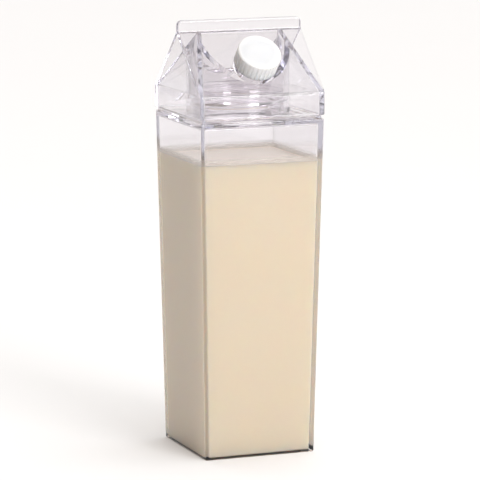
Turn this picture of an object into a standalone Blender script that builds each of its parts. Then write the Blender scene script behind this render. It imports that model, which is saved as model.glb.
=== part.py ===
"""A clear plastic milk bottle shaped like a gable-topped carton, filled with a milk drink.

The tapered square body ends in a shoulder with a round threaded neck. The lid is the whole
upper part of the carton: a short square skirt, two roof slopes, a folded gusset at each end
and a flat fin along the ridge. Inside the lid a round skirt screws onto the neck, and a white
screw cap sits on a spout in the front slope. The front looks along -Y, the ridge runs along X,
and the origin is the middle of the underside.
"""

from math import atan2, ceil, cos, pi, radians, sin, sqrt, tan

import bmesh
import bpy
from mathutils import Matrix, Vector

# Body
TOP_WIDTH = 0.0780
BASE_WIDTH = 0.0697
BODY_HEIGHT = 0.2026
WALL = 0.0027
BASE_THICKNESS = 0.0016
SHOULDER_THICKNESS = 0.0029
BODY_EDGE_RADIUS = 0.0010
CAVITY_EDGE_RADIUS = 0.0010

# Raised rim on the shoulder, on which the lid rests
RIM_INSET = 0.0011
RIM_WIDTH = 0.0030
RIM_HEIGHT = 0.0019

# Round neck
NECK_RADIUS = 0.0256
NECK_BORE_RADIUS = 0.0236
NECK_TOP = 0.2172
LIP_RADIUS = 0.0262
LIP_HEIGHT = 0.0020
LIP_ROUNDING = 0.0006

# Lid
GAP = 0.0003
LID_WIDTH = 0.0786
LID_BOTTOM = BODY_HEIGHT + RIM_HEIGHT + GAP
LID_WALL = 0.0026
EAVE_HEIGHT = 0.2186
CREASE_HEIGHT = 0.2530
RIDGE_TOP = 0.2600
FIN_THICKNESS = 0.0044
FIN_CORNER_RADIUS = 0.0028
GUSSET_DEPTH = 0.0120
LID_EDGE_RADIUS = 0.0009

# Round skirt inside the lid
SKIRT_RADIUS = 0.0300
SKIRT_BORE_RADIUS = 0.0269
LUG_ANGLE = radians(56)
LUG_SIZE = (0.0048, 0.0014, 0.0027)

# Threads: round ridges of this radius, half sunk in the wall and thinner at both ends
NECK_PITCH = 0.0050
NECK_RIDGE = 0.0009
NECK_THREAD_START = 0.2052
NECK_THREAD_TURNS = 1.6
SKIRT_THREAD_START = 0.2078
SKIRT_THREAD_TURNS = 1.3
SPOUT_PITCH = 0.0030
SPOUT_RIDGE = 0.0007
SPOUT_THREAD_START = 0.0055
SPOUT_THREAD_TURNS = 1.5
RIDGE_END = 0.35

# Spout on the front slope, measured along its own axis from the slope's surface
SPOUT_FROM_EAVE = 0.0209
SPOUT_RADIUS = 0.0095
SPOUT_BORE_RADIUS = 0.0076
SPOUT_LENGTH = 0.0122
SPOUT_BORE_DEPTH = 0.0065
COLLAR_RADIUS = 0.0128
COLLAR_HEIGHT = 0.0034

# Screw cap
CAP_RADIUS = 0.0131
CAP_TOP = 0.0146
CAP_TOP_THICKNESS = 0.0016
CAP_WALL_RADIUS = 0.0109
CAP_ROUNDING = 0.0011
CAP_BAND_HEIGHT = 0.0008
CAP_BAND_RADIUS = 0.0128
RIBS = 32
RIB_DEPTH = 0.00035

# Drink
MILK_LEVEL = 0.1765

# Steps of a full turn and of a rounded edge, and how far a cutter runs past what it cuts
ROUND_STEPS = 72
SPOUT_STEPS = 48
RIDGE_STEPS = 24
FIN_CORNER_STEPS = 5
OUTER_EDGE_STEPS = 3
INNER_EDGE_STEPS = 2
PAST = 0.0100

HALF_LID = LID_WIDTH / 2
SLOPE = atan2(CREASE_HEIGHT - EAVE_HEIGHT, HALF_LID - FIN_THICKNESS / 2)
OUTER_APEX = EAVE_HEIGHT + HALF_LID * tan(SLOPE)
INNER_APEX = OUTER_APEX - LID_WALL / cos(SLOPE)
GUSSET_LEAN = atan2(GUSSET_DEPTH, INNER_APEX - EAVE_HEIGHT)


def clear_scene():
    for obj in list(bpy.data.objects):
        bpy.data.objects.remove(obj, do_unlink=True)


def collection(name, hidden=False):
    made = bpy.data.collections.new(name)
    made.hide_render = hidden
    bpy.context.scene.collection.children.link(made)
    return made


def plastic(name, colour, roughness, transmission=0.0):
    made = bpy.data.materials.new(name)
    made.use_nodes = True
    shader = made.node_tree.nodes["Principled BSDF"]
    shader.inputs["Base Color"].default_value = (*colour, 1.0)
    shader.inputs["Roughness"].default_value = roughness
    shader.inputs["Metallic"].default_value = 0.0
    shader.inputs["Transmission Weight"].default_value = transmission
    made.diffuse_color = (*colour, 1.0)
    return made


def add_object(name, mesh, parts, material):
    made = bpy.data.objects.new(name, mesh)
    parts.objects.link(made)
    if material:
        mesh.materials.clear()
        mesh.materials.append(material)
    return made


def add_tool(name, mesh, tools):
    """A solid that only cuts or joins another one."""
    made = add_object(name, mesh, tools, None)
    made.hide_render = True
    made.display_type = "WIRE"
    return made


def boolean(target, tool, operation):
    step = target.modifiers.new(tool.name, "BOOLEAN")
    step.operation = operation
    step.object = tool


def bevel(target, width, segments):
    step = target.modifiers.new("rounded_edges", "BEVEL")
    step.width = width
    step.segments = segments
    step.limit_method = "ANGLE"
    step.angle_limit = radians(35)


def smooth(target, angle=radians(30)):
    target.data.shade_smooth()
    target.data.set_sharp_from_angle(angle=angle)


def evaluated_mesh(source, weld=1e-6):
    """The object's mesh as its modifiers or its bevel leave it, in world space; the object goes."""
    bpy.context.view_layer.update()
    graph = bpy.context.evaluated_depsgraph_get()
    mesh = bpy.data.meshes.new_from_object(source.evaluated_get(graph))
    mesh.transform(source.matrix_world)
    shape = bmesh.new()
    shape.from_mesh(mesh)
    bmesh.ops.remove_doubles(shape, verts=shape.verts, dist=weld)
    bmesh.ops.recalc_face_normals(shape, faces=shape.faces)
    shape.to_mesh(mesh)
    shape.free()
    bpy.data.objects.remove(source, do_unlink=True)
    return mesh


def square_column_mesh(name, low_width, high_width, low, high):
    """A four-sided column whose width changes evenly from its low end to its high end."""
    shape = bmesh.new()
    bmesh.ops.create_cube(shape, size=1.0)
    for vert in shape.verts:
        width = high_width if vert.co.z > 0 else low_width
        level = high if vert.co.z > 0 else low
        vert.co = Vector((vert.co.x * width, vert.co.y * width, level))
    mesh = bpy.data.meshes.new(name)
    shape.to_mesh(mesh)
    shape.free()
    return mesh


def prism_mesh(name, outline, depth, axis):
    """A flat outline of (across, up) points, made `depth` thick about the middle plane of `axis`."""
    curve = bpy.data.curves.new(name, "CURVE")
    curve.dimensions = "2D"
    curve.fill_mode = "BOTH"
    curve.extrude = depth / 2
    spline = curve.splines.new("POLY")
    spline.points.add(len(outline) - 1)
    for point, (across, up) in zip(spline.points, outline):
        point.co = (across, up, 0.0, 1.0)
    spline.use_cyclic_u = True
    made = bpy.data.objects.new(name, curve)
    bpy.context.scene.collection.objects.link(made)
    stand_up = Matrix.Rotation(radians(90), 4, "X")
    turn = Matrix.Rotation(radians(90), 4, "Z") if axis == "X" else Matrix.Identity(4)
    made.matrix_world = turn @ stand_up
    return evaluated_mesh(made)


def cylinder_mesh(name, radius, low, high, steps=ROUND_STEPS):
    shape = bmesh.new()
    bmesh.ops.create_cone(
        shape,
        cap_ends=True,
        segments=steps,
        radius1=radius,
        radius2=radius,
        depth=high - low,
        matrix=Matrix.Translation((0, 0, (low + high) / 2)),
    )
    mesh = bpy.data.meshes.new(name)
    shape.to_mesh(mesh)
    shape.free()
    return mesh


def turned_mesh(name, profile, closed, steps=ROUND_STEPS):
    """A profile of (radius, level) points turned about Z; it runs down on its outer side."""
    shape = bmesh.new()
    verts = [shape.verts.new((radius, 0.0, level)) for radius, level in profile]
    pairs = list(zip(verts, verts[1:]))
    if closed:
        pairs.append((verts[-1], verts[0]))
    for pair in pairs:
        shape.edges.new(pair)
    mesh = bpy.data.meshes.new(name)
    shape.to_mesh(mesh)
    shape.free()
    made = bpy.data.objects.new(name, mesh)
    bpy.context.scene.collection.objects.link(made)
    turn = made.modifiers.new("turn", "SCREW")
    turn.steps = steps
    turn.render_steps = steps
    turn.use_merge_vertices = True
    turn.merge_threshold = 1e-5
    turn.use_normal_calculate = True
    return evaluated_mesh(made)


def thread_mesh(name, radius, ridge, pitch, turns, start):
    """A round ridge that winds up round Z from its start level and thins out at both ends."""
    count = ceil(turns * RIDGE_STEPS) + 1
    curve = bpy.data.curves.new(name, "CURVE")
    curve.dimensions = "3D"
    curve.bevel_depth = ridge
    curve.bevel_resolution = 2
    curve.use_fill_caps = True
    spline = curve.splines.new("POLY")
    spline.points.add(count - 1)
    for index, point in enumerate(spline.points):
        along = index / (count - 1)
        angle = 2 * pi * turns * along
        level = start + pitch * turns * along
        point.co = (radius * cos(angle), radius * sin(angle), level, 1.0)
        point.radius = RIDGE_END if index in (0, count - 1) else 1.0
    made = bpy.data.objects.new(name, curve)
    bpy.context.scene.collection.objects.link(made)
    return evaluated_mesh(made)


def arc(centre, radius, first, last, steps):
    """Points on an arc from the first to the last angle, in degrees."""
    angles = [radians(first + (last - first) * i / steps) for i in range(steps + 1)]
    return [(centre[0] + radius * cos(a), centre[1] + radius * sin(a)) for a in angles]


def body_width(level):
    """Outside width of the tapered body at a level."""
    return BASE_WIDTH + (TOP_WIDTH - BASE_WIDTH) * level / BODY_HEIGHT


def spout_frame():
    """Takes Z to the spout's axis, with its zero on the surface of the front slope."""
    down = -HALF_LID + SPOUT_FROM_EAVE * cos(SLOPE)
    up = EAVE_HEIGHT + SPOUT_FROM_EAVE * sin(SLOPE)
    return Matrix.Translation((0.0, down, up)) @ Matrix.Rotation(SLOPE, 4, "X")


def make_body(parts, tools, clear):
    body = add_object(
        "bottle_body",
        square_column_mesh("bottle_body", BASE_WIDTH, TOP_WIDTH, 0.0, BODY_HEIGHT),
        parts,
        clear,
    )
    bevel(body, BODY_EDGE_RADIUS, OUTER_EDGE_STEPS)

    ceiling = BODY_HEIGHT - SHOULDER_THICKNESS
    cavity = add_tool(
        "body_cavity",
        square_column_mesh(
            "body_cavity",
            body_width(BASE_THICKNESS) - 2 * WALL,
            body_width(ceiling) - 2 * WALL,
            BASE_THICKNESS,
            ceiling,
        ),
        tools,
    )
    bevel(cavity, CAVITY_EDGE_RADIUS, INNER_EDGE_STEPS)
    boolean(body, cavity, "DIFFERENCE")

    rim_width = TOP_WIDTH - 2 * RIM_INSET
    rim_floor = BODY_HEIGHT - SHOULDER_THICKNESS / 2
    rim_top = BODY_HEIGHT + RIM_HEIGHT
    rim = add_tool(
        "rim",
        square_column_mesh("rim", rim_width, rim_width, rim_floor, rim_top),
        tools,
    )
    well_width = rim_width - 2 * RIM_WIDTH
    well = add_tool(
        "rim_well",
        square_column_mesh("rim_well", well_width, well_width, BODY_HEIGHT, rim_top + PAST),
        tools,
    )
    boolean(body, rim, "UNION")
    boolean(body, well, "DIFFERENCE")

    mouth_radius = (NECK_RADIUS + NECK_BORE_RADIUS) / 2
    mouth = add_tool(
        "shoulder_mouth",
        cylinder_mesh("shoulder_mouth", mouth_radius, ceiling - PAST, rim_top + PAST),
        tools,
    )
    boolean(body, mouth, "DIFFERENCE")

    lip_centre = (LIP_RADIUS - LIP_ROUNDING, NECK_TOP - LIP_ROUNDING)
    neck_profile = [
        (NECK_BORE_RADIUS, NECK_TOP),
        *arc(lip_centre, LIP_ROUNDING, 90, 0, OUTER_EDGE_STEPS),
        (LIP_RADIUS, NECK_TOP - LIP_HEIGHT),
        (NECK_RADIUS, NECK_TOP - LIP_HEIGHT - LIP_ROUNDING),
        (NECK_RADIUS, ceiling - LIP_ROUNDING),
        (NECK_BORE_RADIUS, ceiling - LIP_ROUNDING),
    ]
    neck = add_tool("neck", turned_mesh("neck", neck_profile, closed=True), tools)
    boolean(body, neck, "UNION")

    thread = add_tool(
        "neck_thread",
        thread_mesh(
            "neck_thread",
            NECK_RADIUS,
            NECK_RIDGE,
            NECK_PITCH,
            NECK_THREAD_TURNS,
            NECK_THREAD_START,
        ),
        tools,
    )
    boolean(body, thread, "UNION")
    smooth(body)
    return body


def roof_outline(wall=0.0, floor=LID_BOTTOM):
    """The carton's cross-section under the roof, set in by the wall; (across, up) points."""
    apex = OUTER_APEX - wall / cos(SLOPE)
    half = HALF_LID - wall
    eave = apex - half * tan(SLOPE)
    return [(-half, floor), (half, floor), (half, eave), (0.0, apex), (-half, eave)]


def lid_side_outline():
    """The lid's cross-section with its fin."""
    half_fin = FIN_THICKNESS / 2
    return [
        (-HALF_LID, LID_BOTTOM),
        (HALF_LID, LID_BOTTOM),
        (HALF_LID, EAVE_HEIGHT),
        (half_fin, CREASE_HEIGHT),
        (half_fin, RIDGE_TOP),
        (-half_fin, RIDGE_TOP),
        (-half_fin, CREASE_HEIGHT),
        (-HALF_LID, EAVE_HEIGHT),
    ]


def lid_front_outline():
    """The lid as seen from the front: upright sides, and round corners at the ends of the fin."""
    radius = FIN_CORNER_RADIUS
    right = arc((HALF_LID - radius, RIDGE_TOP - radius), radius, 0, 90, FIN_CORNER_STEPS)
    left = arc((-HALF_LID + radius, RIDGE_TOP - radius), radius, 90, 180, FIN_CORNER_STEPS)
    return [(-HALF_LID, LID_BOTTOM), (HALF_LID, LID_BOTTOM), *right, *left]


def gusset_line(level, wall=0.0):
    """How far out from the middle the leaning gusset panel lies at a level."""
    return HALF_LID - (level - EAVE_HEIGHT) * tan(GUSSET_LEAN) - wall / cos(GUSSET_LEAN)


def gusset_level(out, wall=0.0):
    """The level at which the leaning gusset panel lies this far out from the middle."""
    return EAVE_HEIGHT + (HALF_LID - wall / cos(GUSSET_LEAN) - out) / tan(GUSSET_LEAN)


def make_lid_hollow(tools):
    """The space inside the lid: under the slopes, between the gussets, clear of the round skirt."""
    floor = LID_BOTTOM - PAST
    hollow = add_tool(
        "lid_hollow",
        prism_mesh("lid_hollow", roof_outline(LID_WALL, floor), LID_WIDTH - 2 * LID_WALL, "X"),
        tools,
    )
    past_end = HALF_LID - LID_WALL + PAST / 10
    past_apex = INNER_APEX + PAST
    top_half = gusset_line(past_apex, LID_WALL)
    outline = [
        (-past_end, floor - PAST),
        (past_end, floor - PAST),
        (past_end, gusset_level(past_end, LID_WALL)),
        (top_half, past_apex),
        (-top_half, past_apex),
        (-past_end, gusset_level(past_end, LID_WALL)),
    ]
    between_gussets = add_tool(
        "between_gussets",
        prism_mesh("between_gussets", outline, LID_WIDTH + PAST, "Y"),
        tools,
    )
    boolean(hollow, between_gussets, "INTERSECT")
    ring_profile = [
        (SKIRT_BORE_RADIUS, RIDGE_TOP + PAST),
        (SKIRT_RADIUS, RIDGE_TOP + PAST),
        (SKIRT_RADIUS, floor - PAST),
        (SKIRT_BORE_RADIUS, floor - PAST),
    ]
    ring = add_tool("round_skirt", turned_mesh("round_skirt", ring_profile, closed=True), tools)
    boolean(hollow, ring, "DIFFERENCE")
    return hollow


def make_gusset_recess(side, tools):
    """The open fold at one end: outside the leaning panel and under the slopes."""
    name = "gusset_right" if side > 0 else "gusset_left"
    low = EAVE_HEIGHT - PAST / 10
    half = (INNER_APEX - low) / tan(SLOPE)
    recess = add_tool(
        name,
        prism_mesh(name, [(-half, low), (half, low), (0.0, INNER_APEX)], LID_WIDTH + PAST, "X"),
        tools,
    )
    far = HALF_LID + PAST
    high = INNER_APEX + PAST
    outline = [
        (side * far, gusset_level(far)),
        (side * far, high),
        (side * gusset_line(high), high),
    ]
    wedge = add_tool(
        name + "_wedge",
        prism_mesh(name + "_wedge", outline[::side], LID_WIDTH + PAST, "Y"),
        tools,
    )
    boolean(recess, wedge, "INTERSECT")
    return recess


def make_lid(parts, tools, clear):
    lid = add_object(
        "gable_lid",
        prism_mesh("gable_lid", lid_side_outline(), LID_WIDTH, "X"),
        parts,
        clear,
    )
    front = add_tool(
        "lid_front",
        prism_mesh("lid_front", lid_front_outline(), LID_WIDTH + PAST, "Y"),
        tools,
    )
    boolean(lid, front, "INTERSECT")
    bevel(lid, LID_EDGE_RADIUS, INNER_EDGE_STEPS)
    for side in (-1, 1):
        boolean(lid, make_gusset_recess(side, tools), "DIFFERENCE")
    boolean(lid, make_lid_hollow(tools), "DIFFERENCE")

    thread = add_tool(
        "skirt_thread",
        thread_mesh(
            "skirt_thread",
            SKIRT_BORE_RADIUS,
            NECK_RIDGE,
            NECK_PITCH,
            SKIRT_THREAD_TURNS,
            SKIRT_THREAD_START,
        ),
        tools,
    )
    boolean(lid, thread, "UNION")

    lug = add_tool("stop_lug", square_column_mesh("stop_lug", 1.0, 1.0, 0.0, 1.0), tools)
    lug.data.transform(Matrix.Diagonal((*LUG_SIZE, 1.0)))
    turn = Matrix.Rotation(LUG_ANGLE, 4, "Z")
    lug.data.transform(turn @ Matrix.Translation((0.0, -SKIRT_RADIUS, LID_BOTTOM + GAP)))
    boolean(lid, lug, "UNION")

    frame = spout_frame()
    root = -LID_WALL / 2
    spout_profile = [
        (0.0, SPOUT_LENGTH),
        (SPOUT_RADIUS, SPOUT_LENGTH),
        (SPOUT_RADIUS, COLLAR_HEIGHT),
        (COLLAR_RADIUS, COLLAR_HEIGHT),
        (COLLAR_RADIUS, root),
        (0.0, root),
    ]
    spout = add_tool(
        "spout",
        turned_mesh("spout", spout_profile, closed=False, steps=SPOUT_STEPS),
        tools,
    )
    spout_thread = add_tool(
        "spout_thread",
        thread_mesh(
            "spout_thread",
            SPOUT_RADIUS,
            SPOUT_RIDGE,
            SPOUT_PITCH,
            SPOUT_THREAD_TURNS,
            SPOUT_THREAD_START,
        ),
        tools,
    )
    bore_top = SPOUT_LENGTH + PAST
    bore = add_tool(
        "spout_bore",
        cylinder_mesh("spout_bore", SPOUT_BORE_RADIUS, -SPOUT_BORE_DEPTH, bore_top, SPOUT_STEPS),
        tools,
    )
    for tool, operation in ((spout, "UNION"), (spout_thread, "UNION"), (bore, "DIFFERENCE")):
        tool.data.transform(frame)
        boolean(lid, tool, operation)
    smooth(lid)
    return lid


def cap_rib(radius, level, index):
    """Every second point of the cap's side lies back by a rib's depth, above the plain band."""
    above_band = level > COLLAR_HEIGHT + GAP + CAP_BAND_HEIGHT + RIB_DEPTH / 2
    ribbed = radius > CAP_RADIUS - RIB_DEPTH and above_band and index % 2
    return radius - RIB_DEPTH if ribbed else radius


def make_cap(parts, white):
    bottom = COLLAR_HEIGHT + GAP
    band_top = bottom + CAP_BAND_HEIGHT
    edge_centre = (CAP_RADIUS - CAP_ROUNDING, CAP_TOP - CAP_ROUNDING)
    profile = [
        (0.0, CAP_TOP),
        *arc(edge_centre, CAP_ROUNDING, 90, 0, OUTER_EDGE_STEPS),
        (CAP_RADIUS, band_top + RIB_DEPTH),
        (CAP_BAND_RADIUS, band_top),
        (CAP_BAND_RADIUS, bottom),
        (CAP_WALL_RADIUS, bottom),
        (CAP_WALL_RADIUS, CAP_TOP - CAP_TOP_THICKNESS),
        (0.0, CAP_TOP - CAP_TOP_THICKNESS),
    ]
    mesh = turned_mesh("screw_cap", profile, closed=False, steps=2 * RIBS)
    for vert in mesh.vertices:
        flat = sqrt(vert.co.x**2 + vert.co.y**2)
        if flat < CAP_WALL_RADIUS:
            continue
        index = round(atan2(vert.co.y, vert.co.x) / (pi / RIBS)) % (2 * RIBS)
        scale = cap_rib(flat, vert.co.z, index) / flat
        vert.co.x *= scale
        vert.co.y *= scale
    mesh.transform(spout_frame())
    cap = add_object("screw_cap", mesh, parts, white)
    smooth(cap)
    return cap


def make_milk(parts, cream):
    floor = BASE_THICKNESS + GAP
    milk = add_object(
        "milk_drink",
        square_column_mesh(
            "milk_drink",
            body_width(floor) - 2 * (WALL + GAP),
            body_width(MILK_LEVEL) - 2 * (WALL + GAP),
            floor,
            MILK_LEVEL,
        ),
        parts,
        cream,
    )
    bevel(milk, CAVITY_EDGE_RADIUS, INNER_EDGE_STEPS)
    smooth(milk)
    return milk


def main():
    clear_scene()
    parts = collection("milk_bottle")
    tools = collection("cutters", hidden=True)
    clear = plastic("clear_plastic", (0.93, 0.91, 0.93), 0.05, transmission=1.0)
    white = plastic("white_plastic", (0.92, 0.92, 0.92), 0.35)
    cream = plastic("milk_drink", (0.84, 0.68, 0.50), 0.3)
    made = [
        make_body(parts, tools, clear),
        make_lid(parts, tools, clear),
        make_cap(parts, white),
        make_milk(parts, cream),
    ]
    for obj in made:
        print(obj.name, "placed in", parts.name)


main()
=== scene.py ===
# %% [markdown]
# A clear milk bottle shaped like a carton
#
# The bottle is a square plastic body, a lid shaped like the gable top of a milk carton, a white
# screw cap on a sloping spout, and a beige milk drink inside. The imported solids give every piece
# its place; the cells below make each piece again with finer edges and its real finish.

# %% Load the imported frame
from math import atan2, cos, pi, radians, sin, tan

import bmesh
import bpy
from mathutils import Matrix, Vector


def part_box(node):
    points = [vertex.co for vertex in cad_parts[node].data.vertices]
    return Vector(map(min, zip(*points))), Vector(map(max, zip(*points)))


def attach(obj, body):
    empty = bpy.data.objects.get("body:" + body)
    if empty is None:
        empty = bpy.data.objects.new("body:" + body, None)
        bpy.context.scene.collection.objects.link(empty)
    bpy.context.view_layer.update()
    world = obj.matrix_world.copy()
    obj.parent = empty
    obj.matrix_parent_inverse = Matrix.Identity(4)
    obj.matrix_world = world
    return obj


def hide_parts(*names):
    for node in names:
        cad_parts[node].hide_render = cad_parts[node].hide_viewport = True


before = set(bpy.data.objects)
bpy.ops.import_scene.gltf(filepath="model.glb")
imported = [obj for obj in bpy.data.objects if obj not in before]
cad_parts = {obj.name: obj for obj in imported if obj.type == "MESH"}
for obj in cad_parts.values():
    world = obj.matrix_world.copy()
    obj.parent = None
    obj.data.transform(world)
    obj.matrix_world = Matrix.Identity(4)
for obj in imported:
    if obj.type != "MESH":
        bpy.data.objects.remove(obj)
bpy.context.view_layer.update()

print("nodes in the frame:", sorted(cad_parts))

# %% [markdown]
# Every length below is in metres. The body and the lid take their outer sizes from the packed
# solids, and the rest are the wall thicknesses and small radii that a moulder would give them.

# %% Sizes of the body and its neck
body_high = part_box("bottle_body")[1]
TOP_WIDTH = 0.0780
BASE_WIDTH = 0.0697
BODY_HEIGHT = 0.2026
WALL = 0.0027
BASE_THICKNESS = 0.0012
SHOULDER_THICKNESS = 0.0029
RIM_INSET = 0.0011
RIM_WIDTH = 0.0030
RIM_HEIGHT = 0.0019
NECK_RADIUS = 0.0256
NECK_BORE = 0.0236
NECK_TOP = body_high.z
LIP_RADIUS = 0.0262
LIP_HEIGHT = 0.0020
print("the body stands", round(body_high.z * 1000, 1), "mm high with its neck")

# %% [markdown]
# The lid is the roof of a milk carton. On the real bottle its slopes, gussets and fin come from
# one mould, so their sizes hang together. Only the driving sizes are written down. The slope
# follows from the eave, the crease and the fin, and the lean of the gussets from their depth.

# %% Sizes of the lid, the spout and the cap
lid_low, lid_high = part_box("gable_lid")
LID_WIDTH = lid_high.x - lid_low.x
LID_BOTTOM = lid_low.z
LID_WALL = 0.0026
EAVE = 0.2186
CREASE = 0.2530
RIDGE_TOP = lid_high.z
FIN_THICKNESS = 0.0044
FIN_CORNER = 0.0028
GUSSET_DEPTH = 0.0120
SKIRT_RADIUS = 0.0300
SKIRT_BORE = 0.0269
SPOUT_FROM_EAVE = 0.0209
SPOUT_RADIUS = 0.0095
SPOUT_BORE = 0.0076
SPOUT_LENGTH = 0.0122
COLLAR_RADIUS = 0.0128
COLLAR_HEIGHT = 0.0034
CAP_RADIUS = 0.0131
CAP_TOP = 0.01455
CAP_GAP = 0.0003
CAP_BOTTOM = COLLAR_HEIGHT + CAP_GAP
MILK_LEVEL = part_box("milk_drink")[1].z
HALF_LID = LID_WIDTH / 2
SLOPE = atan2(CREASE - EAVE, HALF_LID - FIN_THICKNESS / 2)
INNER_APEX = EAVE + HALF_LID * tan(SLOPE) - LID_WALL / cos(SLOPE)
GUSSET_LEAN = atan2(GUSSET_DEPTH, INNER_APEX - EAVE)
print("the roof slopes at", round(SLOPE * 180 / pi, 1), "degrees")

# %% [markdown]
# The view and the studio
#
# The camera stands to the left of the bottle's front and a little above it, far away with a
# long lens, so upright edges stay nearly parallel. It comes first, because everything that
# follows is judged through it. Light has to pass many clear walls, so it may bounce often:
# with the usual few bounces the edges of the plastic would turn black.

# %% The camera
VIEW_AZIMUTH = radians(-21.41)
VIEW_ELEVATION = radians(9.38)
VIEW_DISTANCE = 1.914
VIEW_CENTRE = Vector((0.0007, 0.0, 0.1260))
LENS = 237.9
SENSOR_WIDTH = 36.0
FARTHEST_SEEN = 100.0
LIGHT_BOUNCES = 32


def direction(azimuth, elevation):
    """The way from the bottle to a place this far round from the front and up."""
    flat = cos(elevation)
    return Vector((sin(azimuth) * flat, -cos(azimuth) * flat, sin(elevation)))


def aim(obj, place, centre):
    obj.location = place
    obj.rotation_euler = (centre - place).to_track_quat("-Z", "Y").to_euler()


camera = bpy.data.objects.new("camera", bpy.data.cameras.new("camera"))
bpy.context.scene.collection.objects.link(camera)
camera.data.lens = LENS
camera.data.sensor_width = SENSOR_WIDTH
camera.data.clip_end = FARTHEST_SEEN
aim(camera, VIEW_CENTRE + VIEW_DISTANCE * direction(VIEW_AZIMUTH, VIEW_ELEVATION), VIEW_CENTRE)
bpy.context.scene.camera = camera
bpy.context.scene.view_settings.view_transform = "Standard"
bpy.context.scene.cycles.max_bounces = LIGHT_BOUNCES
bpy.context.scene.cycles.glossy_bounces = LIGHT_BOUNCES
bpy.context.scene.cycles.transmission_bounces = LIGHT_BOUNCES
print("camera at", [round(x, 3) for x in camera.location])

# %% [markdown]
# Clear plastic shows nothing of its own: it shows what stands around it. So the bottle stands in
# a light tent, bright overhead and dim brown on its left, which leaves the left side of the drink
# darker than its front. A dark strip runs round the tent a little above the horizon. The flat
# walls never show it, but the thread and the seam bend it into thin grey lines.

# %% The light tent
SKY_BRIGHT = (1.17, 1.155, 1.145, 1.0)
SKY_DIM = (0.25, 0.180, 0.130, 1.0)
DIM_AS_FAR_AS = -0.85
BRIGHT_FROM = -0.15
# Height on the sky, 0 at the horizon and 1 overhead, with the brightness there
SKY_STRIPES = (
    (0.000, 0.90),
    (0.095, 0.90),
    (0.115, 0.14),
    (0.185, 0.14),
    (0.215, 1.04),
    (0.800, 1.38),
)


def new_node(tree, kind, label, place):
    node = tree.nodes.new(kind)
    node.label = label
    node.location = place
    return node


world = bpy.data.worlds.new("studio_sky")
world.use_nodes = True
bpy.context.scene.world = world
sky = world.node_tree
background = sky.nodes["Background"]
sky_place = new_node(sky, "ShaderNodeTexCoord", "direction", (-800, 0))
sky_axes = new_node(sky, "ShaderNodeSeparateXYZ", "how far to the left", (-600, 0))
sky_ramp = new_node(sky, "ShaderNodeMapRange", "dim left to bright right", (-400, 0))
sky_blend = new_node(sky, "ShaderNodeMix", "sky colour", (-200, 0))
sky_blend.data_type = "RGBA"
sky.links.new(sky_place.outputs["Generated"], sky_axes.inputs[0])
sky.links.new(sky_axes.outputs["X"], sky_ramp.inputs["Value"])
sky_ramp.inputs["From Min"].default_value = DIM_AS_FAR_AS
sky_ramp.inputs["From Max"].default_value = BRIGHT_FROM
sky_ramp.interpolation_type = "SMOOTHSTEP"
sky.links.new(sky_ramp.outputs["Result"], sky_blend.inputs["Factor"])
sky_blend.inputs["A"].default_value = SKY_DIM
sky_blend.inputs["B"].default_value = SKY_BRIGHT
sky.links.new(sky_blend.outputs["Result"], background.inputs["Color"])
sky_stripes = new_node(sky, "ShaderNodeValToRGB", "brightness by height", (-400, -300))
sky.links.new(sky_axes.outputs["Z"], sky_stripes.inputs["Fac"])
stops = sky_stripes.color_ramp.elements
while len(stops) < len(SKY_STRIPES):
    stops.new(0.5)
for stop, (height, strength) in zip(stops, SKY_STRIPES):
    stop.position = height
    stop.color = (strength, strength, strength, 1.0)
sky.links.new(sky_stripes.outputs["Color"], background.inputs["Strength"])
print("the tent's dark strip lies between", SKY_STRIPES[2][0], "and", SKY_STRIPES[3][0])

# %% [markdown]
# One soft window in front, a little to the right, gives the short bright highlights on the neck
# and makes the front of the drink the lightest side. It could be a sun, but a sun is a small
# bright disc in the sky, and its reflections in the clear walls would be hard dots.

# %% The window light
KEY_AZIMUTH = radians(15)
KEY_ELEVATION = radians(18)
KEY_DISTANCE = 2.4
KEY_SIZE = (1.00, 1.40)
KEY_POWER = 39.0
key = bpy.data.objects.new("window_light", bpy.data.lights.new("window_light", "AREA"))
bpy.context.scene.collection.objects.link(key)
key.data.shape = "RECTANGLE"
key.data.size, key.data.size_y = KEY_SIZE
key.data.energy = KEY_POWER
aim(key, VIEW_CENTRE + KEY_DISTANCE * direction(KEY_AZIMUTH, KEY_ELEVATION), VIEW_CENTRE)
print("window light of", KEY_POWER, "watts in front")

# %% [markdown]
# Working by hand, in code
#
# Modelling operators act on whatever is selected. These helpers select one object, or the
# vertices, edges or faces that lie in a certain place, exactly as a hand would pick them.


# %% Selecting
def only(obj):
    bpy.ops.object.select_all(action="DESELECT")
    obj.select_set(True)
    bpy.context.view_layer.objects.active = obj
    return obj


def edit(obj):
    only(obj)
    bpy.ops.object.mode_set(mode="EDIT")


def leave():
    bpy.ops.object.mode_set(mode="OBJECT")


def pick(kind, test):
    """In edit mode, selects what passes test(middle, way): way is a normal, or an edge's run."""
    bpy.ops.mesh.select_mode(type=kind)
    bpy.ops.mesh.select_all(action="DESELECT")
    mesh = bpy.context.edit_object.data
    shape = bmesh.from_edit_mesh(mesh)
    shape.normal_update()
    if kind == "VERT":
        found = [v for v in shape.verts if test(v.co, v.normal)]
    elif kind == "EDGE":
        ends = [(e, e.verts[0].co, e.verts[1].co) for e in shape.edges]
        found = [e for e, a, b in ends if test((a + b) / 2, (b - a).normalized())]
    else:
        found = [f for f in shape.faces if test(f.calc_center_median(), f.normal)]
    for item in found:
        item.select_set(True)
    shape.select_flush_mode()
    bmesh.update_edit_mesh(mesh)


# %% [markdown]
# A shape ends with a few finishing steps. Its place is settled into its mesh, cuts and joins are
# applied at once, and the near-double corners that they leave are merged. Edges are rounded,
# because a sharp edge catches no light, and shading is smooth only where the surface curves.

# %% Finishing
NEAR = 1e-5
MERGE = 3e-6


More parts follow.
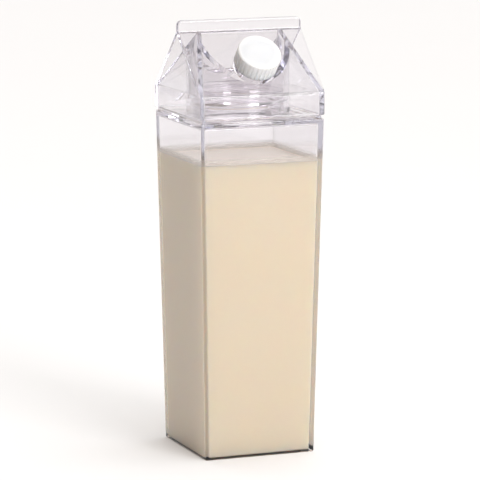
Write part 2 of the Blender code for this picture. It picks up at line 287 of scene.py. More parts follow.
def settle(obj):
    """Puts the object's place, turn and size into its mesh."""
    only(obj)
    bpy.ops.object.transform_apply(location=True, rotation=True, scale=True)
    return obj


def apply_modifier(obj, kind, **settings):
    only(obj)
    step = obj.modifiers.new(kind.lower(), kind)
    for name, value in settings.items():
        setattr(step, name, value)
    bpy.ops.object.modifier_apply(modifier=step.name)
    return obj


def combine(target, tool, operation):
    """Cuts the tool from the target or joins it on, and throws the tool away."""
    apply_modifier(target, "BOOLEAN", operation=operation, object=tool, solver="EXACT")
    bpy.data.objects.remove(tool, do_unlink=True)
    return target


def clean(obj):
    """Merges the near-double corners that cuts and joins leave behind."""
    edit(obj)
    bpy.ops.mesh.select_all(action="SELECT")
    bpy.ops.mesh.remove_doubles(threshold=MERGE)
    bpy.ops.mesh.dissolve_degenerate(threshold=MERGE)
    leave()
    return obj


def round_edges(obj, width, segments, angle=35):
    return apply_modifier(
        obj,
        "BEVEL",
        width=width,
        segments=segments,
        limit_method="ANGLE",
        angle_limit=radians(angle),
    )


def shade(obj, angle=40):
    """Smooth shading that leaves the large flat faces truly flat."""
    only(obj)
    bpy.ops.object.shade_smooth_by_angle(angle=radians(angle))
    apply_modifier(obj, "WEIGHTED_NORMAL", keep_sharp=True, weight=100)
    return obj


# %% [markdown]
# Three kinds of blank cover nearly all of the bottle. The first is a square column that may
# taper, as the walls do: a cube whose lower face is drawn in.


# %% A square column
def square_column(name, low_width, high_width, low, high):
    bpy.ops.mesh.primitive_cube_add(size=1.0, location=(0, 0, (low + high) / 2))
    made = bpy.context.object
    made.name = name
    made.scale = (high_width, high_width, high - low)
    settle(made)
    edit(made)
    pick("FACE", lambda middle, way: way.z < -0.9)
    share = low_width / high_width
    bpy.ops.transform.resize(value=(share, share, 1), center_override=(0, 0, low))
    leave()
    return made


# %% [markdown]
# The second blank is a ring or a disc turned about an axis, as on a lathe. It starts as a filled
# circle with one corner for each corner of its section, which is moved to that section and then
# spun round. A section that touches the axis is opened there, so that no wall stands inside.

# %% A turned ring or disc
TURN_STEPS = 96
TURN_SEGMENTS = 4


def turned(name, section, rounding=0.0, rounded=()):
    """Spins a section of (radius, height) corners about Z; the listed corners are rounded."""
    bpy.ops.object.select_all(action="DESELECT")
    bpy.ops.mesh.primitive_circle_add(vertices=len(section), radius=1.0, fill_type="NGON")
    made = bpy.context.object
    made.name = name
    for vert, (radius, height) in zip(made.data.vertices, section):
        vert.co = (radius, 0.0, height)
    edit(made)
    if rounding:
        places = [Vector((section[i][0], 0.0, section[i][1])) for i in rounded]
        pick("VERT", lambda middle, way: any((middle - p).length < NEAR for p in places))
        bpy.ops.mesh.bevel(offset=rounding, segments=TURN_SEGMENTS, affect="VERTICES")
    bpy.ops.mesh.select_mode(type="FACE")
    bpy.ops.mesh.select_all(action="SELECT")
    bpy.ops.mesh.delete(type="ONLY_FACE")
    pick("EDGE", lambda middle, way: abs(middle.x) < NEAR)
    bpy.ops.mesh.delete(type="EDGE_FACE")
    bpy.ops.mesh.select_mode(type="VERT")
    bpy.ops.mesh.select_all(action="SELECT")
    bpy.ops.mesh.spin(steps=TURN_STEPS, angle=2 * pi, center=(0, 0, 0), axis=(0, 0, 1))
    bpy.ops.mesh.select_all(action="SELECT")
    bpy.ops.mesh.remove_doubles(threshold=MERGE)
    bpy.ops.mesh.normals_make_consistent(inside=False)
    leave()
    return made


# %% [markdown]
# The third blank is a screw thread. It could be spun like a ring, but a thread climbs, so a
# small four-cornered section is wound up round the axis by the Screw modifier. Its flanks slant,
# because slanting plastic is what bends the light. Its middle lies a little inside the wall, so
# that it joins the wall cleanly, and both ends are thinned, as a moulded thread runs out.

# %% A screw thread
THREAD_SINK = 0.00013
THREAD_END = 0.35


def thread(name, radius, ridge, pitch, turns, start):
    """A pointed ridge wound up round Z in two equal windings, thinned at both ends."""
    bpy.ops.object.select_all(action="DESELECT")
    bpy.ops.mesh.primitive_circle_add(
        vertices=4, radius=ridge, location=(radius, 0, start), rotation=(pi / 2, 0, 0)
    )
    made = settle(bpy.context.object)
    made.name = name
    half = turns / 2
    apply_modifier(
        made,
        "SCREW",
        angle=2 * pi * half,
        screw_offset=pitch * half,
        iterations=2,
        steps=round(TURN_STEPS * half),
        render_steps=round(TURN_STEPS * half),
        use_merge_vertices=True,
        merge_threshold=MERGE,
    )
    edit(made)
    for along in (0.0, turns):
        place = Vector((radius * cos(2 * pi * along), radius * sin(2 * pi * along), 0.0))
        place.z = start + pitch * along
        pick("VERT", lambda middle, way: (middle - place).length < ridge + NEAR)
        bpy.ops.transform.resize(value=3 * (THREAD_END,), center_override=place)
    bpy.ops.mesh.select_all(action="SELECT")
    bpy.ops.mesh.fill_holes(sides=0)
    bpy.ops.mesh.select_all(action="SELECT")
    bpy.ops.mesh.normals_make_consistent(inside=False)
    leave()
    return made


# %% [markdown]
# The clear body
#
# On the real bottle this is one injection-moulded piece: four thin walls that taper to the base,
# a flat base plate, a shoulder with a raised rim that the lid sits on, and a round neck. It could
# be a thickened shell, but its base, walls and shoulder differ in thickness, so a second, smaller
# column is cut out of the first one instead.


# %% Model the body
def body_width(height):
    return BASE_WIDTH + (TOP_WIDTH - BASE_WIDTH) * height / BODY_HEIGHT


FOOT_WIDTH = 0.0055
FOOT_HEIGHT = 0.0004
BODY_EDGE = 0.0008
CAVITY_EDGE = 0.0012
PAST = 0.010  # how far a cutting tool reaches past what it cuts
ceiling = BODY_HEIGHT - SHOULDER_THICKNESS
body = square_column("clear_body", BASE_WIDTH, TOP_WIDTH, 0.0, BODY_HEIGHT)
round_edges(body, BODY_EDGE, segments=4)
edit(body)
pick("FACE", lambda middle, way: way.z < -0.99)
bpy.ops.mesh.inset(thickness=FOOT_WIDTH)
bpy.ops.mesh.inset(thickness=2 * FOOT_HEIGHT, depth=-FOOT_HEIGHT)
leave()

cavity = square_column(
    "cavity",
    body_width(BASE_THICKNESS) - 2 * WALL,
    body_width(ceiling) - 2 * WALL,
    BASE_THICKNESS,
    ceiling,
)
round_edges(cavity, CAVITY_EDGE, segments=4)
combine(body, cavity, "DIFFERENCE")
print("the body's walls are", round(WALL * 1000, 1), "mm thick")

# %% [markdown]
# A raised rim runs round the shoulder inside the lid's skirt and keeps the lid square on the
# body. The neck in its middle is a plain turned ring with a lip. The shoulder is opened under
# it, and the thread is joined on last, so that it meets the finished wall.

# %% Model the rim and the neck
RIM_ROOT = 0.0010
RIM_EDGE = 0.0005
WELL_EDGE = 0.0004
NECK_ROOT = 0.0006
LIP_SLOPE = 0.0006
LIP_EDGE = 0.0005
THREAD_RIDGE = 0.0008
THREAD_PITCH = 0.0050
NECK_TURNS = 1.6
NECK_THREAD_START = 0.2052
rim_width = TOP_WIDTH - 2 * RIM_INSET
rim_top = BODY_HEIGHT + RIM_HEIGHT
rim = square_column("rim", rim_width, rim_width, BODY_HEIGHT - RIM_ROOT, rim_top)
round_edges(rim, RIM_EDGE, segments=3)
well_width = rim_width - 2 * RIM_WIDTH
well = square_column("well", well_width, well_width, BODY_HEIGHT, rim_top + PAST)
round_edges(well, WELL_EDGE, segments=2)
mouth_radius = (NECK_RADIUS + NECK_BORE) / 2
low_mouth, high_mouth = ceiling - PAST, rim_top + PAST
mouth = turned(
    "mouth", [(0, high_mouth), (mouth_radius, high_mouth), (mouth_radius, low_mouth), (0, low_mouth)]
)
neck_low = ceiling - NECK_ROOT
lip_low = NECK_TOP - LIP_HEIGHT
neck = turned(
    "neck",
    [
        (NECK_BORE, NECK_TOP),
        (LIP_RADIUS, NECK_TOP),
        (LIP_RADIUS, lip_low),
        (NECK_RADIUS, lip_low - LIP_SLOPE),
        (NECK_RADIUS, neck_low),
        (NECK_BORE, neck_low),
    ],
    rounding=LIP_EDGE,
    rounded=(0, 1, 2),
)
combine(body, rim, "UNION")
combine(body, well, "DIFFERENCE")
combine(body, mouth, "DIFFERENCE")
combine(body, neck, "UNION")
neck_thread = thread(
    "neck_thread",
    NECK_RADIUS - THREAD_SINK,
    THREAD_RIDGE,
    THREAD_PITCH,
    NECK_TURNS,
    NECK_THREAD_START,
)
combine(body, neck_thread, "UNION")
shade(clean(body))
print("the body has", len(body.data.polygons), "faces")

# %% [markdown]
# The clear lid
#
# The lid is the top of the carton: a square skirt, two roof slopes, a folded-in gusset at each
# end and a flat fin. Extruding the top of a block and squeezing it in one direction gives the
# gable and then the fin, the way a carton closes.

# %% Model the outside of the lid
LID_EDGE = 0.0009
FIN_SEGMENTS = 6


def gable_block(name, width, depth, low, eave, apex, ridge):
    """A block whose top is drawn up from the eave and squeezed to a ridge this thick."""
    bpy.ops.mesh.primitive_cube_add(size=1.0, location=(0, 0, (low + eave) / 2))
    made = bpy.context.object
    made.name = name
    made.scale = (width, depth, eave - low)
    settle(made)
    edit(made)
    pick("FACE", lambda middle, way: way.z > 0.9)
    bpy.ops.mesh.extrude_region_move(TRANSFORM_OT_translate={"value": (0, 0, apex - eave)})
    bpy.ops.transform.resize(value=(1, ridge / depth, 1), center_override=(0, 0, apex))
    return made


lid = gable_block("clear_lid", LID_WIDTH, LID_WIDTH, LID_BOTTOM, EAVE, CREASE, FIN_THICKNESS)
bpy.ops.mesh.extrude_region_move(TRANSFORM_OT_translate={"value": (0, 0, RIDGE_TOP - CREASE)})
pick("EDGE", lambda middle, way: abs(way.y) > 0.9 and middle.z > RIDGE_TOP - NEAR)
bpy.ops.mesh.bevel(offset=FIN_CORNER, segments=FIN_SEGMENTS, affect="EDGES")
leave()
round_edges(lid, LID_EDGE, segments=4)
print("the lid's outside has", len(lid.data.polygons), "faces")

# %% [markdown]
# A carton's gusset is the triangle at each end that folds inwards. Its place is the room between
# the two slopes, outside a leaning plane, so a smaller gable block is cut off at that plane and
# taken out of the lid. The hollow is the same shape one wall further in, less a ring that stays
# as the round skirt, and the thread inside that skirt grips the neck.

# %% Cut the gussets and the inside
SHARP = 1e-7
HOLLOW_EDGE = 0.0007
FOLD_LAP = PAST / 10
SKIRT_TURNS = 1.3
SKIRT_THREAD_START = 0.2078


def cut_plane(obj, place, normal, keep_inner):
    """Bisects the piece and closes the cut; the side behind the normal is the inner one."""
    edit(obj)
    bpy.ops.mesh.select_all(action="SELECT")
    bpy.ops.mesh.bisect(
        plane_co=place,
        plane_no=normal,
        use_fill=True,
        clear_outer=keep_inner,
        clear_inner=not keep_inner,
    )
    leave()


def close_ridge(obj):
    bpy.ops.mesh.select_all(action="SELECT")
    bpy.ops.mesh.remove_doubles(threshold=NEAR)
    leave()
    return obj


low_fold = EAVE - FOLD_LAP
fold_depth = 2 * (INNER_APEX - low_fold) / tan(SLOPE)
inner_width = LID_WIDTH - 2 * LID_WALL
inner_eave = INNER_APEX - inner_width / 2 * tan(SLOPE)
hollow = close_ridge(
    gable_block(
        "hollow", inner_width, inner_width, LID_BOTTOM - PAST, inner_eave, INNER_APEX, SHARP
    )
)
for side in (-1, 1):
    outward = Vector((side * cos(GUSSET_LEAN), 0.0, sin(GUSSET_LEAN)))
    fold_line = Vector((side * HALF_LID, 0.0, EAVE))
    long_block = LID_WIDTH + 2 * PAST
    fold = close_ridge(
        gable_block(
            "fold", long_block, fold_depth, low_fold - FOLD_LAP, low_fold, INNER_APEX, SHARP
        )
    )
    cut_plane(fold, fold_line, outward, keep_inner=False)
    combine(lid, fold, "DIFFERENCE")
    cut_plane(hollow, fold_line - LID_WALL * outward, outward, keep_inner=True)
round_edges(hollow, HOLLOW_EDGE, segments=3)
low_ring = LID_BOTTOM - 2 * PAST
high_ring = RIDGE_TOP + PAST
ring = turned(
    "ring",
    [
        (SKIRT_BORE, high_ring),
        (SKIRT_RADIUS, high_ring),
        (SKIRT_RADIUS, low_ring),
        (SKIRT_BORE, low_ring),
    ],
)
combine(hollow, ring, "DIFFERENCE")
combine(lid, hollow, "DIFFERENCE")
skirt_thread = thread(
    "skirt_thread",
    SKIRT_BORE + THREAD_SINK,
    THREAD_RIDGE,
    THREAD_PITCH,
    SKIRT_TURNS,
    SKIRT_THREAD_START,
)
combine(lid, skirt_thread, "UNION")
print("the lid has", len(lid.data.polygons), "faces with its inside")

# %% [markdown]
# A small lug on the round skirt stops the lid's turn when it is tight. It is a plain block, sized
# and turned into its place. The spout is a short tube square to the front slope, with a collar
# at its foot that the cap screws down to. It is turned upright about Z, where that is easy, and
# then tilted into place. The bore is cut last, so that it opens the roof as well.

# %% Add the stop lug and the spout
LUG_ANGLE = radians(56)
LUG_SIZE = (0.0048, 0.0014, 0.0027)
LUG_LIFT = 0.0003
LUG_EDGE = 0.0004
BORE_DEPTH = 2.5 * LID_WALL
SPOUT_EDGE = 0.0004
SPOUT_RIDGE = 0.0007
SPOUT_PITCH = 0.0030
SPOUT_TURNS = 1.5
SPOUT_THREAD_START = 0.0055
lug = square_column("lug", 1.0, 1.0, 0.0, 1.0)
lug.data.transform(Matrix.Diagonal((*LUG_SIZE, 1.0)))
lug.data.transform(Matrix.Translation((0.0, -SKIRT_RADIUS, LID_BOTTOM + LUG_LIFT)))
lug.data.transform(Matrix.Rotation(LUG_ANGLE, 4, "Z"))
round_edges(lug, LUG_EDGE, segments=3)
combine(lid, lug, "UNION")

slope_place = Matrix.Translation(
    (0.0, SPOUT_FROM_EAVE * cos(SLOPE) - HALF_LID, EAVE + SPOUT_FROM_EAVE * sin(SLOPE))
) @ Matrix.Rotation(SLOPE, 4, "X")


def on_slope(obj):
    obj.matrix_world = slope_place
    return settle(obj)


root = -LID_WALL / 2
spout = turned(
    "spout",
    [
        (0.0, SPOUT_LENGTH),
        (SPOUT_RADIUS, SPOUT_LENGTH),
        (SPOUT_RADIUS, COLLAR_HEIGHT),
        (COLLAR_RADIUS, COLLAR_HEIGHT),
        (COLLAR_RADIUS, root),
        (0.0, root),
    ],
    rounding=SPOUT_EDGE,
    rounded=(1, 3),
)
low_bore, high_bore = -BORE_DEPTH, SPOUT_LENGTH + PAST
bore = turned(
    "bore", [(0, high_bore), (SPOUT_BORE, high_bore), (SPOUT_BORE, low_bore), (0, low_bore)]
)
spout_thread = thread(
    "spout_thread",
    SPOUT_RADIUS - THREAD_SINK,
    SPOUT_RIDGE,
    SPOUT_PITCH,
    SPOUT_TURNS,
    SPOUT_THREAD_START,
)
for tool, operation in ((spout, "UNION"), (spout_thread, "UNION"), (bore, "DIFFERENCE")):
    combine(lid, on_slope(tool), operation)
shade(clean(lid))
print("the lid has", len(lid.data.polygons), "faces")

# %% [markdown]
# The white cap
#
# The cap is an opaque moulded cup with fine upright ribs for the fingers. Each groove between two
# ribs is a pair of side faces pushed in together, which leaves the ribs their sloping flanks. A
# boolean could cut the grooves one by one, but a cylinder with four side faces to each rib has
# them all at hand, and one inset makes every groove at once.

# %% Model the cap
RIBS = 32
GROOVE_DEPTH = 0.00042
GROOVE_FLANK = 0.00022
CAP_WALL = 0.0022
CAP_ROOF = 0.0016
CAP_EDGE = 0.0011
cap_height = CAP_TOP - CAP_BOTTOM
bpy.ops.object.select_all(action="DESELECT")
bpy.ops.mesh.primitive_cylinder_add(
    vertices=4 * RIBS,
    radius=CAP_RADIUS,
    depth=cap_height,
    location=(0, 0, CAP_BOTTOM + cap_height / 2),
)
cap = settle(bpy.context.object)
cap.name = "ribbed_cap"
edit(cap)
pick("EDGE", lambda middle, way: abs(way.z) < 0.5 and middle.z > CAP_TOP - NEAR)
bpy.ops.mesh.bevel(offset=CAP_EDGE, segments=5, affect="EDGES")


def in_groove(middle, way):
    turn = (atan2(middle.y, middle.x) / (2 * pi) * 4 * RIBS) % 4
    return abs(way.z) < 0.1 and turn < 2


pick("FACE", in_groove)
bpy.ops.mesh.inset(thickness=GROOVE_FLANK, depth=-GROOVE_DEPTH, use_individual=False)
pick("FACE", lambda middle, way: way.z < -0.9 and middle.z < CAP_BOTTOM + NEAR)
bpy.ops.mesh.inset(thickness=CAP_WALL)
bpy.ops.mesh.extrude_region_move(TRANSFORM_OT_translate={"value": (0, 0, cap_height - CAP_ROOF)})
leave()
on_slope(cap)
shade(cap, angle=50)
print("the cap has", RIBS, "ribs and", len(cap.data.polygons), "faces")

# %% [markdown]
# The milk drink
#
# A liquid against clear plastic shows no air gap, so the drink reaches a little into the walls.
# Its surface is level in the middle and climbs a little where it meets the walls. It could be a
# copy of the hollow, cut off at its level, but a column as wide as the hollow is simpler, and
# three insets of its top, each a little lower than the last, make that climb.

# %% Model the milk drink
INTO_WALL = 0.00015
MENISCUS = 0.0007
MILK_EDGE = 0.0011
# Each step of the surface's climb: how far it lies from the one outside it, and how far down
MENISCUS_STEPS = ((0.0003, 0.0004), (0.0003, 0.0002), (0.0004, 0.0001))
floor_level = BASE_THICKNESS - INTO_WALL
milk = square_column(
    "milk",
    body_width(floor_level) - 2 * (WALL - INTO_WALL),
    body_width(MILK_LEVEL) - 2 * (WALL - INTO_WALL),
    floor_level,
    MILK_LEVEL + MENISCUS,
)
edit(milk)
pick("EDGE", lambda middle, way: middle.z < MILK_LEVEL)
bpy.ops.mesh.bevel(offset=MILK_EDGE, segments=4, affect="EDGES")
pick("FACE", lambda middle, way: way.z > 0.9)
for width, drop in MENISCUS_STEPS:
    bpy.ops.mesh.inset(thickness=width, depth=-drop)
leave()
shade(milk, angle=60)
print("the drink stands", round(MILK_LEVEL * 1000, 1), "mm above the base")

# %% [markdown]
# The film above the drink
#
# A bottle that has been carried shows no hard line at the top of its milk: a thin film clings to
# the walls above it and thins out upwards. It is a square sleeve that hugs the four walls, and
# its finish, further down, lets it fade.

# %% Model the film of milk
FILM_RISE = 0.0050
FILM_THICKNESS = 0.00012
FILM_LAP = 0.0002
FILM_EDGE = 0.0012
film_low, film_high = MILK_LEVEL - FILM_LAP, MILK_LEVEL + FILM_RISE
film = square_column(
    "milk_film",
    body_width(film_low) - 2 * (WALL - FILM_THICKNESS / 2),
    body_width(film_high) - 2 * (WALL - FILM_THICKNESS / 2),
    film_low,
    film_high,
)
edit(film)
pick("EDGE", lambda middle, way: abs(way.z) > 0.9)
bpy.ops.mesh.bevel(offset=FILM_EDGE, segments=4, affect="EDGES")
pick("FACE", lambda middle, way: abs(way.z) > 0.9)
bpy.ops.mesh.delete(type="FACE")
leave()
apply_modifier(film, "SOLIDIFY", thickness=FILM_THICKNESS, offset=-1.0)
shade(film, angle=60)
print("the film climbs", round(FILM_RISE * 1000, 1), "mm up the walls")

# %% [markdown]
# Finishes
#
# Clear plastic, white plastic and milk all carry fine marks from handling and moulding. One
# node group makes them, so that every finish can use the same marks at its own strength.


# %% The shared group of fine marks
def group_input(group, name, kind, value):
    socket = group.interface.new_socket(name, in_out="INPUT", socket_type=kind)
    socket.default_value = value


GRAIN_DETAIL = 3.0
PATCHES_FROM = 0.15
PATCHES_FULL = 0.45
marks = bpy.data.node_groups.new("fine_marks", "ShaderNodeTree")
group_input(marks, "Grain Scale", "NodeSocketFloat", 900.0)
group_input(marks, "Drift Scale", "NodeSocketFloat", 45.0)
group_input(marks, "Smooth", "NodeSocketFloat", 0.02)
group_input(marks, "Worn", "NodeSocketFloat", 0.08)
for output in ("Roughness", "Height", "Drift"):
    marks.interface.new_socket(output, in_out="OUTPUT", socket_type="NodeSocketFloat")
marks_in = new_node(marks, "NodeGroupInput", "values", (-900, 0))
marks_out = new_node(marks, "NodeGroupOutput", "results", (500, 0))
marks_place = new_node(marks, "ShaderNodeTexCoord", "place on the piece", (-900, -300))
grain = new_node(marks, "ShaderNodeTexNoise", "fine grain", (-500, 150))
drift = new_node(marks, "ShaderNodeTexNoise", "slow drift", (-500, -150))
spread = new_node(marks, "ShaderNodeMapRange", "worn patches", (100, 150))
mix = new_node(marks, "ShaderNodeMath", "grain over drift", (-150, 0))
mix.operation = "MULTIPLY"
for texture, scale in ((grain, "Grain Scale"), (drift, "Drift Scale")):
    texture.inputs["Detail"].default_value = GRAIN_DETAIL
    marks.links.new(marks_place.outputs["Object"], texture.inputs["Vector"])
    marks.links.new(marks_in.outputs[scale], texture.inputs["Scale"])
marks.links.new(grain.outputs[0], mix.inputs[0])
marks.links.new(drift.outputs[0], mix.inputs[1])
marks.links.new(mix.outputs[0], spread.inputs["Value"])
spread.inputs["From Min"].default_value = PATCHES_FROM
spread.inputs["From Max"].default_value = PATCHES_FULL
marks.links.new(marks_in.outputs["Smooth"], spread.inputs["To Min"])
marks.links.new(marks_in.outputs["Worn"], spread.inputs["To Max"])
marks.links.new(spread.outputs[0], marks_out.inputs["Roughness"])
marks.links.new(grain.outputs[0], marks_out.inputs["Height"])
marks.links.new(drift.outputs[0], marks_out.inputs["Drift"])
print("the marks group has", len(marks.nodes), "nodes")

# %% [markdown]
# Every finish on the bottle starts the same way: a Principled shader that takes its roughness and
# its relief from the marks, and a colour that drifts between two close ones. Two helpers build
# that, and each finish then sets only what is its own.

# %% A finish with its marks
MARK_DEPTH = 0.0001


def finish(name, grain_scale, drift_scale, smooth, worn, bump):
    """A material whose Principled shader takes its roughness and normal from the marks."""
    made = bpy.data.materials.new(name)
    made.use_nodes = True
    tree = made.node_tree
    shader = tree.nodes["Principled BSDF"]
    worn_in = new_node(tree, "ShaderNodeGroup", "fine marks", (-700, 0))
    worn_in.node_tree = marks
    values = (grain_scale, drift_scale, smooth, worn)
    for socket, value in zip(("Grain Scale", "Drift Scale", "Smooth", "Worn"), values):
        worn_in.inputs[socket].default_value = value
    relief = new_node(tree, "ShaderNodeBump", "relief of the marks", (-300, -300))
    relief.inputs["Strength"].default_value = bump
    relief.inputs["Distance"].default_value = MARK_DEPTH
    tree.links.new(worn_in.outputs["Roughness"], shader.inputs["Roughness"])
    tree.links.new(worn_in.outputs["Height"], relief.inputs["Height"])
    tree.links.new(relief.outputs["Normal"], shader.inputs["Normal"])
    return made, tree, shader, worn_in


def tint(tree, shader, factor, first, second):
    """Base colour that drifts between two close colours."""
    blend = new_node(tree, "ShaderNodeMix", "colour drift", (-300, 200))
    blend.data_type = "RGBA"
    tree.links.new(factor, blend.inputs["Factor"])
    blend.inputs["A"].default_value = (*first, 1.0)
    blend.inputs["B"].default_value = (*second, 1.0)
    tree.links.new(blend.outputs["Result"], shader.inputs["Base Color"])


# %% [markdown]
# The clear plastic bends light as acrylic does. Its faint rose grey tint is taken at the surface,
# so that every wall carries it, and only a little is added by the depth of the plastic.

# %% Clear plastic
CLEAR_IOR = 1.49
CLEAR_LIGHT = (0.903, 0.887, 0.902)
CLEAR_DEEP = (0.893, 0.877, 0.892)
ABSORB_COLOUR = (0.47, 0.46, 0.58)
ABSORB_DENSITY = 12.0
clear, clear_tree, clear_shader, clear_marks = finish(
    "clear_plastic", grain_scale=1400.0, drift_scale=35.0, smooth=0.0, worn=0.015, bump=0.004
)
tint(clear_tree, clear_shader, clear_marks.outputs["Drift"], CLEAR_LIGHT, CLEAR_DEEP)
clear_shader.inputs["IOR"].default_value = CLEAR_IOR
clear_shader.inputs["Transmission Weight"].default_value = 1.0
clear_depth = new_node(clear_tree, "ShaderNodeVolumeAbsorption", "tint in the depth", (0, -400))
clear_depth.inputs["Color"].default_value = (*ABSORB_COLOUR, 1.0)
clear_depth.inputs["Density"].default_value = ABSORB_DENSITY
clear_tree.links.new(
    clear_depth.outputs["Volume"], clear_tree.nodes["Material Output"].inputs["Volume"]
)
print("clear plastic with an index of", CLEAR_IOR)

# %% [markdown]
# The cap is satin white plastic. Light goes a little way into it and comes out beside the place
# where it went in, which softens the shade between the ribs. A plain white colour would leave
# those grooves hard and chalky, so all of its colour comes from light scattered below the skin.

# %% White plastic
WHITE_LIGHT = (0.72, 0.70, 0.69)
WHITE_DEEP = (0.69, 0.67, 0.66)
WHITE_SPREAD = (1.0, 0.9, 0.8)
WHITE_REACH = 0.010
white, white_tree, white_shader, white_marks = finish(
    "white_plastic", grain_scale=1800.0, drift_scale=120.0, smooth=0.28, worn=0.42, bump=0.15
)
tint(white_tree, white_shader, white_marks.outputs["Drift"], WHITE_LIGHT, WHITE_DEEP)
white_shader.inputs["Subsurface Weight"].default_value = 1.0
white_shader.inputs["Subsurface Radius"].default_value = WHITE_SPREAD
white_shader.inputs["Subsurface Scale"].default_value = WHITE_REACH
print("white plastic scatters light over", WHITE_REACH * 1000, "mm")

# %% [markdown]
# The drink is a beige liquid that light enters too, warm rather than grey in its shade, so red
# light is let further in than blue. Its open surface is painted paler and given a faint glow of
# the same colour: painted light, standing in for the light that in real milk comes up from within,
# through the walls.

# %% Milk
LOW_GLOSS = 0.05
MILK_LIGHT = (0.990, 0.850, 0.668)
MILK_DEEP = (0.978, 0.835, 0.647)
# Painted light: the open surface is painted paler than the drink and glows faintly
PAINTED_TOP_LIGHT = (0.99, 0.91, 0.81)
PAINTED_TOP_DEEP = (0.97, 0.88, 0.78)
PAINTED_TOP_GLOW = 0.27
MILK_SCATTER = 0.6
MILK_SPREAD = (1.0, 0.75, 0.5)
MILK_REACH = 0.008
drink, drink_tree, drink_shader, drink_marks = finish(
    "milk_drink", grain_scale=60.0, drift_scale=18.0, smooth=0.30, worn=0.42, bump=0.03
)
tint(drink_tree, drink_shader, drink_marks.outputs["Drift"], MILK_LIGHT, MILK_DEEP)
drink_shader.inputs["Subsurface Weight"].default_value = MILK_SCATTER
drink_shader.inputs["Subsurface Radius"].default_value = MILK_SPREAD
drink_shader.inputs["Subsurface Scale"].default_value = MILK_REACH
drink_shader.inputs["Specular IOR Level"].default_value = LOW_GLOSS

# The finish of the open surface, a paler colour with a glow, is painted light
painted_top, painted_top_tree, painted_top_shader, painted_top_marks = finish(
    "milk_surface_painted_light", grain_scale=60.0, drift_scale=120.0, smooth=0.35, worn=0.50, bump=0.05
)
tint(painted_top_tree, painted_top_shader, painted_top_marks.outputs["Drift"], PAINTED_TOP_LIGHT, PAINTED_TOP_DEEP)
painted_top_shader.inputs["Specular IOR Level"].default_value = LOW_GLOSS
painted_top_shader.inputs["Emission Color"].default_value = (*PAINTED_TOP_LIGHT, 1.0)
painted_top_shader.inputs["Emission Strength"].default_value = PAINTED_TOP_GLOW
print("the surface of the milk glows at", PAINTED_TOP_GLOW)

# %% [markdown]
# The film thins out from the level of the drink upwards, and a little unevenly, because it has
# run down the walls. A picture could carry that, but a height on the piece says it in one ramp,
# and the slow drift of the marks breaks it up. Both together make the film's cover.

# %% The fading film
FILM_LIGHT = (0.97, 0.90, 0.80)
FILM_DEEP = (0.95, 0.88, 0.78)
FILM_COVER = 0.80
DRIFT_LOW, DRIFT_HIGH = 0.3, 0.7
THINNEST, THICKEST = 0.8, 1.1
thin, thin_tree, thin_shader, thin_marks = finish(
    "milk_film", grain_scale=60.0, drift_scale=90.0, smooth=0.30, worn=0.42, bump=0.03
)
tint(thin_tree, thin_shader, thin_marks.outputs["Drift"], FILM_LIGHT, FILM_DEEP)
thin_shader.inputs["Specular IOR Level"].default_value = LOW_GLOSS
thin_place = new_node(thin_tree, "ShaderNodeTexCoord", "place on the film", (-1100, -500))
thin_height = new_node(thin_tree, "ShaderNodeSeparateXYZ", "height", (-900, -500))
thin_fade = new_node(thin_tree, "ShaderNodeMapRange", "thins out upwards", (-700, -500))
thin_uneven = new_node(thin_tree, "ShaderNodeMapRange", "uneven film", (-500, -500))
thin_cover = new_node(thin_tree, "ShaderNodeMath", "cover", (-300, -600))
thin_cover.operation = "MULTIPLY"
thin_tree.links.new(thin_place.outputs["Object"], thin_height.inputs[0])
thin_tree.links.new(thin_height.outputs["Z"], thin_fade.inputs["Value"])
thin_fade.inputs["From Min"].default_value = film_high
thin_fade.inputs["From Max"].default_value = MILK_LEVEL
thin_fade.inputs["To Max"].default_value = FILM_COVER
thin_tree.links.new(thin_marks.outputs["Drift"], thin_uneven.inputs["Value"])
thin_uneven.inputs["From Min"].default_value = DRIFT_LOW
thin_uneven.inputs["From Max"].default_value = DRIFT_HIGH
thin_uneven.inputs["To Min"].default_value = THINNEST
thin_uneven.inputs["To Max"].default_value = THICKEST
thin_tree.links.new(thin_fade.outputs["Result"], thin_cover.inputs[0])
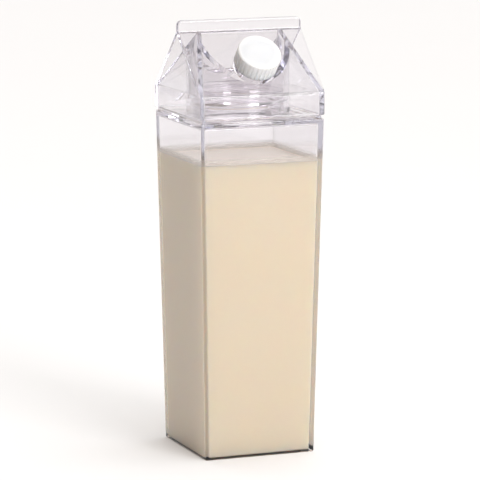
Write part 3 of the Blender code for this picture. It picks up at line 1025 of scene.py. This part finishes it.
thin_tree.links.new(thin_uneven.outputs["Result"], thin_cover.inputs[1])
thin_tree.links.new(thin_cover.outputs[0], thin_shader.inputs["Alpha"])
print("the film covers", FILM_COVER, "of the wall at its foot")

# %% [markdown]
# Put it together
#
# Each piece takes its finish, rides on the bottle's one body and stands for its imported solid.
# The open surface of the drink takes a second finish, painted paler and glowing as painted light:
# its faces are found by height and by the way they look. The film stands for no solid, because it
# is too thin to be one.

# %% Dress the frame
DRESSED = (
    (body, clear, "bottle_body", "clear_body"),
    (lid, clear, "gable_lid", "clear_lid"),
    (cap, white, "screw_cap", "white_cap"),
    (milk, drink, "milk_drink", "milk"),
)
for piece, material, node, slot in DRESSED:
    piece.data.materials.clear()
    piece.data.materials.append(material)
    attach(piece, "root")
    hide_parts(node)
    print(piece.name, "stands for", node)
# The faces of the open surface take the paler, glowing finish, which is painted light
milk.data.materials.append(painted_top)
for face in milk.data.polygons:
    face.material_index = int(face.center.z > MILK_LEVEL - NEAR and face.normal.z > 0.5)
film.data.materials.clear()
film.data.materials.append(thin)
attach(film, "root")
print("the film rides along with the drink")

# %% [markdown]
# The floor
#
# A wide pale floor runs out of the picture on all sides. It isn't part of the bottle. It is a
# filled circle with hardly any gloss, so that the bottle leaves a soft shadow and no reflection.

# %% Lay the floor
FLOOR_RADIUS = 9.0
FLOOR_LIGHT = (0.77, 0.77, 0.77)
FLOOR_DEEP = (0.78, 0.78, 0.78)
FLOOR_GLOSS = 0.1
bpy.ops.object.select_all(action="DESELECT")
bpy.ops.mesh.primitive_circle_add(vertices=96, radius=FLOOR_RADIUS, fill_type="NGON")
floor = bpy.context.object
floor.name = "studio_floor"
pale, pale_tree, pale_shader, pale_marks = finish(
    "pale_floor", grain_scale=40.0, drift_scale=3.0, smooth=0.75, worn=0.85, bump=0.02
)
tint(pale_tree, pale_shader, pale_marks.outputs["Drift"], FLOOR_LIGHT, FLOOR_DEEP)
pale_shader.inputs["Specular IOR Level"].default_value = FLOOR_GLOSS
floor.data.materials.append(pale)
print("floor laid out to", FLOOR_RADIUS, "m")
